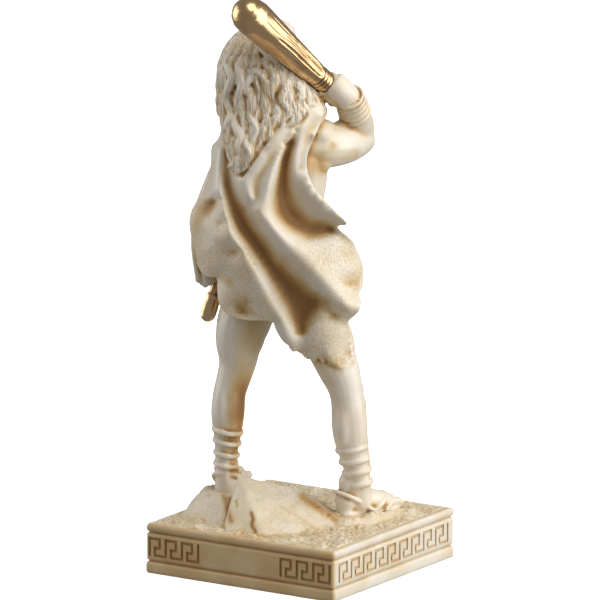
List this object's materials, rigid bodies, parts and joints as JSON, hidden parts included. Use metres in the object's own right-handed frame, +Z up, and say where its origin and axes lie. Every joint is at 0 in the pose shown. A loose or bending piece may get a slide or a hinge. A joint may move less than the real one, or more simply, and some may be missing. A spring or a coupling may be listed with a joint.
{
  "type": "hercules statue",
  "caption": "Cast resin statuette of a standing hero with a lion's hide, a raised gilded club and a short sword, on a square base with a key pattern.",
  "frame": {"origin": "centre of the base's underside, on the surface that it stands on", "axes": "+Z up, the figure faces -Y, his right hand with the club is toward -X, and the base's sides lie along X and Y"},
  "size_m": [0.08, 0.08, 0.2135],
  "materials": {
    "plinth": "cast resin, ivory with a brown wash in the recesses, satin",
    "figure": "cast resin, ivory with a brown wash in the recesses, satin",
    "club": "bright gold paint over cast resin",
    "scabbard": "gold paint over cast resin"
  },
  "bodies": {
    "root": {"plinth": "plinth", "figure": "figure", "club": "club", "scabbard": "scabbard"}
  },
  "joints": []
}
